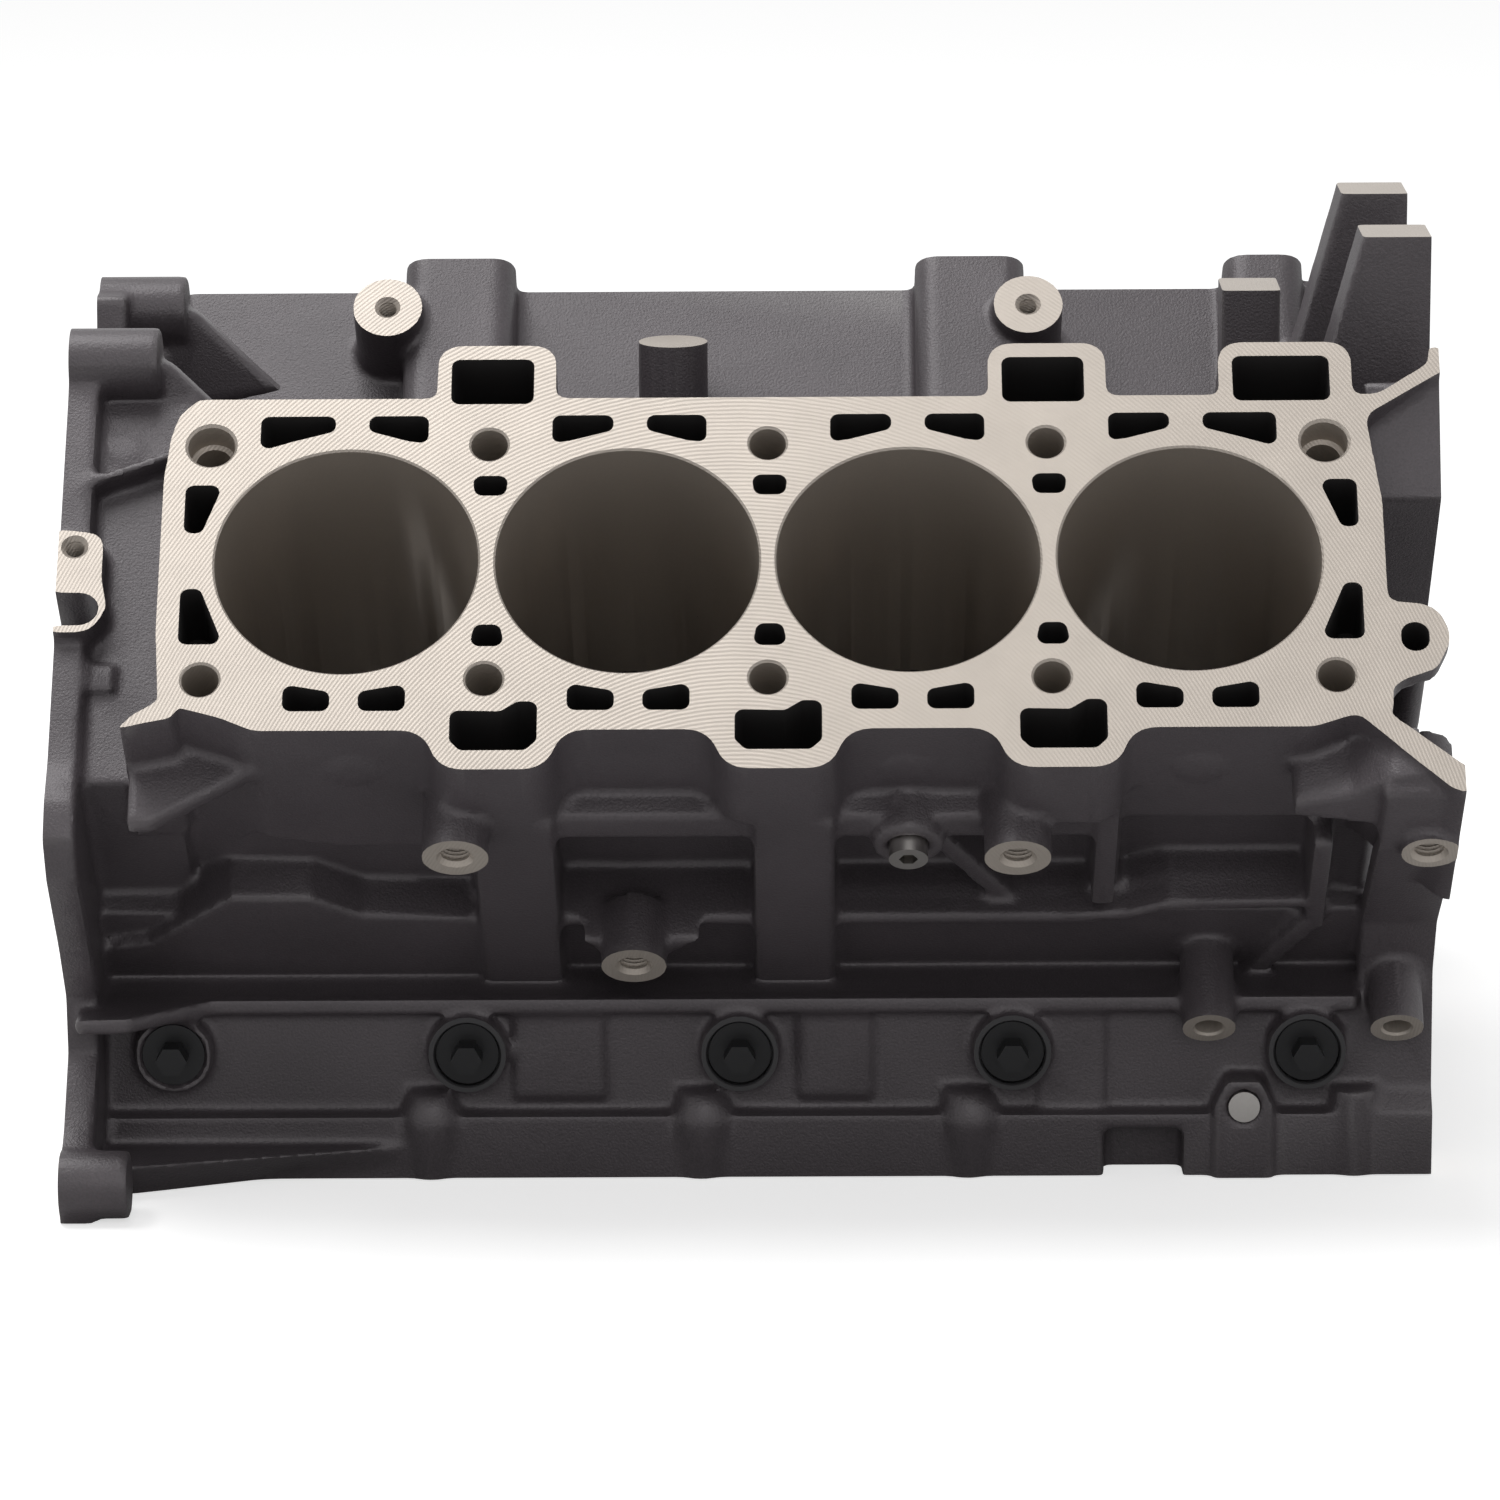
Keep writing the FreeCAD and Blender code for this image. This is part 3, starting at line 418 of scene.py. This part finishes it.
def rounded(points, radius, steps=6):
    """A loop with its corners rounded."""
    points = straightened(points)
    result = []
    count = len(points)
    for i, point in enumerate(points):
        back = points[i - 1] - point
        ahead = points[(i + 1) % count] - point
        half = back.angle(ahead) / 2
        if half > BLUNT:
            result.append(point)
            continue
        reach = min(radius / math.tan(half), LONGEST_ARC * back.length, LONGEST_ARC * ahead.length)
        real = reach * math.tan(half)
        axis = (back.normalized() + ahead.normalized()).normalized()
        middle = point + axis * (real / math.sin(half))
        start = point + back.normalized() * reach - middle
        stop = point + ahead.normalized() * reach - middle
        for k in range(steps + 1):
            arm = start.normalized().slerp(stop.normalized(), k / steps)
            result.append(middle + arm.normalized() * start.length)
    return result


def grown(points, amount):
    """A loop moved outwards from its centre."""
    centre = sum(points, Vector()) / len(points)
    return [p + (p - centre).normalized() * amount for p in points]


class Tool:
    """Closed solids gathered in one mesh, each face with a material number."""

    def __init__(self):
        self.points = []
        self.faces = []
        self.kinds = []

    def stack(self, rings, kinds):
        """Solid through a pile of rings with the same count of points, closed at both ends."""
        base = len(self.points)
        count = len(rings[0])
        for ring in rings:
            self.points += ring
        self.faces.append([base + i for i in reversed(range(count))])
        self.kinds.append(kinds[0])
        for level in range(len(rings) - 1):
            low = base + level * count
            for i in range(count):
                j = (i + 1) % count
                self.faces.append([low + i, low + j, low + count + j, low + count + i])
                self.kinds.append(kinds[level])
        top = base + (len(rings) - 1) * count
        self.faces.append([top + i for i in range(count)])
        self.kinds.append(kinds[-1])

    def prism(self, points, normal, low, high, kind=CAST):
        """Prism on a loop, from low to high along the normal."""
        if signed_area(points, normal) < 0:
            points = points[::-1]
        rings = [[p + normal * level for p in points] for level in (low, high)]
        self.stack(rings, [kind])

    def lathe(self, centre, normal, profile, kinds, steps=48):
        """Turned solid from a profile of (level, radius) pairs along the normal."""
        side = normal.orthogonal().normalized()
        other = normal.cross(side)
        rings = []
        for level, radius in profile:
            ring = []
            for i in range(steps):
                angle = 2 * math.pi * i / steps
                arm = side * math.cos(angle) + other * math.sin(angle)
                ring.append(centre + normal * level + arm * radius)
            rings.append(ring)
        self.stack(rings, kinds)

    def patch(self, mesh, patch, normal, low, high):
        """The polygons of a patch, thickened from low to high along the normal."""
        number = {}
        corners = []
        for index in patch:
            for v in mesh.polygons[index].vertices:
                if v not in number:
                    number[v] = len(corners)
                    corners.append(mesh.vertices[v].co)
        base = len(self.points)
        total = len(corners)
        self.points += [p + normal * low for p in corners] + [p + normal * high for p in corners]
        count = {}
        for index in patch:
            for edge in mesh.polygons[index].edge_keys:
                count[edge] = count.get(edge, 0) + 1
        for index in patch:
            face = [base + number[v] for v in mesh.polygons[index].vertices]
            self.faces.append(face[::-1])
            self.faces.append([v + total for v in face])
            self.kinds += [CAST, CAST]
            ring = list(mesh.polygons[index].vertices)
            for a, b in zip(ring, ring[1:] + ring[:1]):
                if count[(min(a, b), max(a, b))] == 1:
                    a, b = base + number[a], base + number[b]
                    self.faces.append([a, b, b + total, a + total])
                    self.kinds.append(CAST)

    def join(self, other):
        """Adds the solids of another tool."""
        base = len(self.points)
        self.points += other.points
        self.faces += [[v + base for v in face] for face in other.faces]
        self.kinds += other.kinds

    def build(self, name, materials):
        """The solids as one object."""
        mesh = bpy.data.meshes.new(name)
        mesh.from_pydata(self.points, [], self.faces)
        for mat in materials:
            mesh.materials.append(mat)
        mesh.polygons.foreach_set("material_index", self.kinds)
        mesh.update()
        result = bpy.data.objects.new(name, mesh)
        bpy.context.scene.collection.objects.link(result)
        return result


def signed_area(points, normal):
    """Twice the area of a loop, positive if it runs anticlockwise seen against the normal."""
    total = Vector()
    for a, b in zip(points, points[1:] + points[:1]):
        total += a.cross(b)
    return total.dot(normal)


def baked(obj):
    """Replaces an object's mesh by the result of its modifiers."""
    view = bpy.context.evaluated_depsgraph_get()
    mesh = bpy.data.meshes.new_from_object(obj.evaluated_get(view), depsgraph=view)
    obj.modifiers.clear()
    obj.data = mesh


def cut(obj, cutter):
    """Cuts an object with a cutter, which is then deleted."""
    step = obj.modifiers.new("cut", "BOOLEAN")
    step.operation = "DIFFERENCE"
    step.solver = "MANIFOLD"
    step.object = cutter
    baked(obj)
    bpy.data.objects.remove(cutter)


def hole_profile(radius, thread):
    """Profile of a drilled hole with a chamfer at its mouth and, if asked, thread grooves."""
    shoulder = -HOLE_DEPTH + radius * DRILL_TIP
    profile = [(-HOLE_DEPTH, radius * DRILL_POINT), (shoulder, radius)]
    chamfer = CHAMFER
    if thread:
        level = shoulder + PITCH
        while level < -chamfer - THREAD_RISE - PITCH:
            profile += [(level, radius), (level + PITCH / 2, radius + THREAD_RISE)]
            level += PITCH
        profile.append((level, radius))
        chamfer += THREAD_RISE
    profile += [(-chamfer, radius), (PROUD, radius + chamfer + PROUD)]
    return profile


def faces_to_machine():
    """The machined planes: name, normal, offset, whether its holes are threaded."""
    planes = []
    for side in (-1, 1):
        out, across = bank_way(side)
        planes.append(("deck", out, DECK_HEIGHT, False))
        planes.append(("boss", -across, BOSS_TIP, True))
        planes.append(("boss", -across, LOW_BOSS_TIP, False))
        planes.append(("pad", out, PAD_HEIGHT, True))
        planes.append(("collar", Vector((0, side, 0)), COLLAR_OUT, False))
    planes.append(("disc", bank_way(1)[1], DISC_TIP, True))
    planes.append(("rear", Vector((-1, 0, 0)), REAR_FACE, False))
    planes.append(("front", Vector((1, 0, 0)), FRONT_FACE, False))
    planes.append(("pan", Vector((0, 0, -1)), PAN_FACE, False))
    for height in TOPS:
        planes.append(("top", Vector((0, 0, 1)), height, True))
    return planes


def add_plug(plugs, centre, normal, radius, depth):
    """Round plug that fills a hole up to the top of the stock."""
    size = radius + PLUG_FIT
    plugs.lathe(centre, normal, [(-depth, size), (STOCK, size)], [CAST])


def chamfered(depth, radius, edge):
    """Profile of a straight hole with a chamfer at its mouth."""
    return [(-depth, radius), (-edge, radius), (PROUD, radius + edge + PROUD)]


def machine_slot(loop, normal, plugs, holes):
    """Plug and cutter for a water slot or an oil return window of a deck."""
    filled = grown(straightened(loop), PLUG_FIT)
    plugs.prism(filled, normal, -WINDOW_DEPTH - PLUG_BEYOND, STOCK)
    window = loop_span(loop) > WINDOW_SPAN and max(p.z for p in loop) > WINDOW_TOP
    depth = WINDOW_DEPTH if window else SLOT_DEPTH
    holes.prism(rounded(loop, SLOT_CORNER), normal, -depth, PROUD, CORE)


def machine_deck(loops, normal, plugs, holes):
    """Plugs and cutters for the bores, bolt holes and slots of a deck."""
    for loop in loops[1:]:
        round_hole = circle_of(loop)
        if round_hole is None:
            machine_slot(loop, normal, plugs, holes)
            continue
        centre, radius = round_hole
        if radius > BORE_LIMIT:
            add_plug(plugs, centre, normal, radius, PLUG_DEPTH)
            profile = chamfered(BORE_DEPTH, radius, BORE_CHAMFER)
            holes.lathe(centre, normal, profile, [HONED, MILLED], BORE_SIDES)
            continue
        add_plug(plugs, centre, normal, radius, BOLT_DEPTH + PLUG_BEYOND)
        if radius > DOWEL_LIMIT:
            below = [(-BOLT_DEPTH, BOLT_R), (-DOWEL_DEPTH - DOWEL_STEP, BOLT_R)]
            profile = below + chamfered(DOWEL_DEPTH, radius, DOWEL_CHAMFER)
            holes.lathe(centre, normal, profile, [MILLED] * 4)
        else:
            profile = chamfered(BOLT_DEPTH, radius, CHAMFER)
            holes.lathe(centre, normal, profile, [MILLED, MILLED])


def drill(holes, centre, normal, radius, thread):
    """Blind hole with a chamfered mouth, threaded if asked."""
    profile = hole_profile(radius, thread)
    holes.lathe(centre, normal, profile, [MILLED] * (len(profile) - 1), HOLE_SIDES)


def machine_holes(name, loops, normal, thread, plugs, holes):
    """Plugs and cutters for the round holes of a machined patch."""
    for loop in loops[1:]:
        round_hole = circle_of(loop)
        if round_hole is None or round_hole[1] > LARGEST_DRILLED:
            continue
        centre, radius = round_hole
        if name == "collar":
            add_plug(plugs, centre, normal, radius, RECESS_DEPTH + BLIND_BEYOND)
            profile = chamfered(RECESS_DEPTH, radius, COLLAR_CHAMFER)
            holes.lathe(centre, normal, profile, [BLACKED, BLACKED], HOLE_SIDES)
        else:
            add_plug(plugs, centre, normal, radius, HOLE_DEPTH + BLIND_BEYOND)
            drill(holes, centre, normal, radius, thread)


def facing_cut(name, loops, normal):
    """Cutter that takes the stock off one patch, or None where the cut over its whole plane does."""
    outer = circle_of(loops[0])
    tool = Tool()
    if outer is not None:
        centre, radius = outer
        skin = BLACKED if name == "collar" else MILLED
        tool.lathe(centre, normal, [(0, radius + ROUND_MARGIN), (FACING, radius + MARGIN)], [skin])
        return tool
    if name in WHOLE_PLANES:
        return None
    tool.prism(around(loops[0], normal, MARGIN), normal, 0, FACING, MILLED)
    return tool


def machine_plane(mesh, plane, stock, plugs, groups):
    """Adds a machined plane's stock and plugs, and its cutters as groups in the order of use."""
    name, normal, offset, thread = plane
    holes = Tool()
    for patch in plane_patches(mesh, normal, offset):
        loops = patch_loops(mesh, patch)
        outer = circle_of(loops[0])
        if loop_span(loops[0]) < SMALLEST_PATCH or (name == "collar" and outer is None):
            continue
        stock.patch(mesh, patch, normal, -MM, STOCK)
        facing = facing_cut(name, loops, normal)
        if facing is not None:
            groups.append(facing)
        if name == "deck":
            machine_deck(loops, normal, plugs, holes)
            continue
        if name == "disc" and outer is not None:
            drill(holes, outer[0], normal, DISC_HOLE_R, thread)
        machine_holes(name, loops, normal, thread, plugs, holes)
    if name in WHOLE_PLANES:
        facing = Tool()
        facing.prism(big_square(normal * offset, normal), normal, 0, WHOLE_CUT, MILLED)
        groups.append(facing)
    if holes.faces:
        groups.append(holes)


def big_square(middle, normal):
    """Corners of a square larger than the block, on a plane."""
    side = normal.orthogonal().normalized()
    other = normal.cross(side)
    half = 0.5
    return [middle + side * half * a + other * half * b for a, b in ((-1, -1), (1, -1), (1, 1), (-1, 1))]


def around(points, normal, margin):
    """Rectangle round a loop, in its plane, with one side along X where the plane allows it."""
    side = Vector((1, 0, 0)) if abs(normal.x) < 0.9 else Vector((0, 1, 0))
    other = normal.cross(side)
    a = [p.dot(side) for p in points]
    b = [p.dot(other) for p in points]
    level = normal * points[0].dot(normal)
    corners = ((min(a) - margin, min(b) - margin), (max(a) + margin, min(b) - margin))
    corners += ((max(a) + margin, max(b) + margin), (min(a) - margin, max(b) + margin))
    return [level + side * x + other * y for x, y in corners]


def add_lump(shell, place, axis, profile, steps):
    """Turned cast form, its place and profile in millimetres."""
    scaled = [(level * MM, radius * MM) for level, radius in profile]
    shell.lathe(Vector(place) * MM, axis, scaled, [CAST] * (len(profile) - 1), steps)


def add_lumps(shell):
    """Pan rail bosses with their pips, and low round marks on the exhaust walls."""
    up = Vector((0, 0, 1))
    for side in (-1, 1):
        for x in RAIL_BOSSES:
            add_lump(shell, (x, side * RAIL_BOSS_OUT, 0), up, RAIL_BOSS, 24)
            add_lump(shell, (x, side * PIP_OUT, 0), up, PIP, 16)
        for x in SIDE_MARKS:
            add_lump(shell, (x, side * SIDE_MARK_OUT, SIDE_MARK_UP), -bank_way(side)[1], SIDE_MARK, 24)


def softened(shell, materials):
    """One closed skin of all the solids in a shell, with soft edges."""
    casting = shell.build("casting", materials)
    remesh = casting.modifiers.new("remesh", "REMESH")
    remesh.mode = "VOXEL"
    remesh.voxel_size = VOXEL
    smooth = casting.modifiers.new("smooth", "SMOOTH")
    smooth.factor = 0.5
    smooth.iterations = SMOOTHING
    baked(casting)
    triangles = sum(len(f.vertices) - 2 for f in casting.data.polygons)
    thin = casting.modifiers.new("thin", "DECIMATE")
    thin.ratio = KEPT_TRIANGLES / triangles
    baked(casting)
    casting.data.materials.clear()
    for mat in materials:
        casting.data.materials.append(mat)
    casting.data.polygons.foreach_set("material_index", [CAST] * len(casting.data.polygons))
    return casting


def make_casting(node, materials):
    """The block with cast surfaces that are soft at their edges and crisp machined faces."""
    stock = Tool()
    plugs = Tool()
    groups = []
    for plane in faces_to_machine():
        machine_plane(node.data, plane, stock, plugs, groups)
    shell = Tool()
    shell.points = [v.co.copy() for v in node.data.vertices]
    shell.faces = [list(f.vertices) for f in node.data.polygons]
    shell.kinds = [CAST] * len(shell.faces)
    add_lumps(shell)
    shell.join(stock)
    shell.join(plugs)
    casting = softened(shell, materials)
    for group in groups:
        cut(casting, group.build("cutter", materials))
    casting.data.polygons.foreach_set("use_smooth", [True] * len(casting.data.polygons))
    casting.data.set_sharp_from_angle(angle=SHARP_ANGLE)
    return casting


# ---- scene
add_camera()
add_stage(start_size[0][2] - FLOOR_GAP)
add_lamp("key", (-0.7, 0.1, 2.6), power=46)
add_lamp("front", (0.5, -2.6, 1.7), power=10)

# the last colour is the painted highlight on convex edges
cast = cast_material("cast_iron", (0.070, 0.060, 0.066), (0.19, 0.18, 0.18))
milled = milled_material("milled_iron", (0.43, 0.385, 0.34))
honed = material("honed_bore", (0.46, 0.41, 0.36), metallic=0.5, roughness=0.3)
core = material("core_face", (0.02, 0.018, 0.018), metallic=0.1, roughness=0.7)
blacked = material("blacked_seat", (0.035, 0.034, 0.036), metallic=0.3, roughness=0.42)
black = material("black_steel", (0.012, 0.012, 0.013), metallic=0.5, roughness=0.36)
bright = material("bright_steel", (0.5, 0.48, 0.46), metallic=1.0, roughness=0.3)
for name, node in frame["nodes"].items():
    mat = cast
    if name.startswith("cross"):
        mat = black
    if name.startswith("cap_bolts") or name.endswith("plug") or name.endswith("plugs"):
        mat = bright
    node.data.materials.clear()
    node.data.materials.append(mat)
block = frame["nodes"]["cylinder_block"]
casting = make_casting(block, [cast, milled, honed, core, blacked])
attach(casting, list(frame["bodies"])[0])
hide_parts("cylinder_block")

bpy.context.scene.view_settings.view_transform = "Standard"
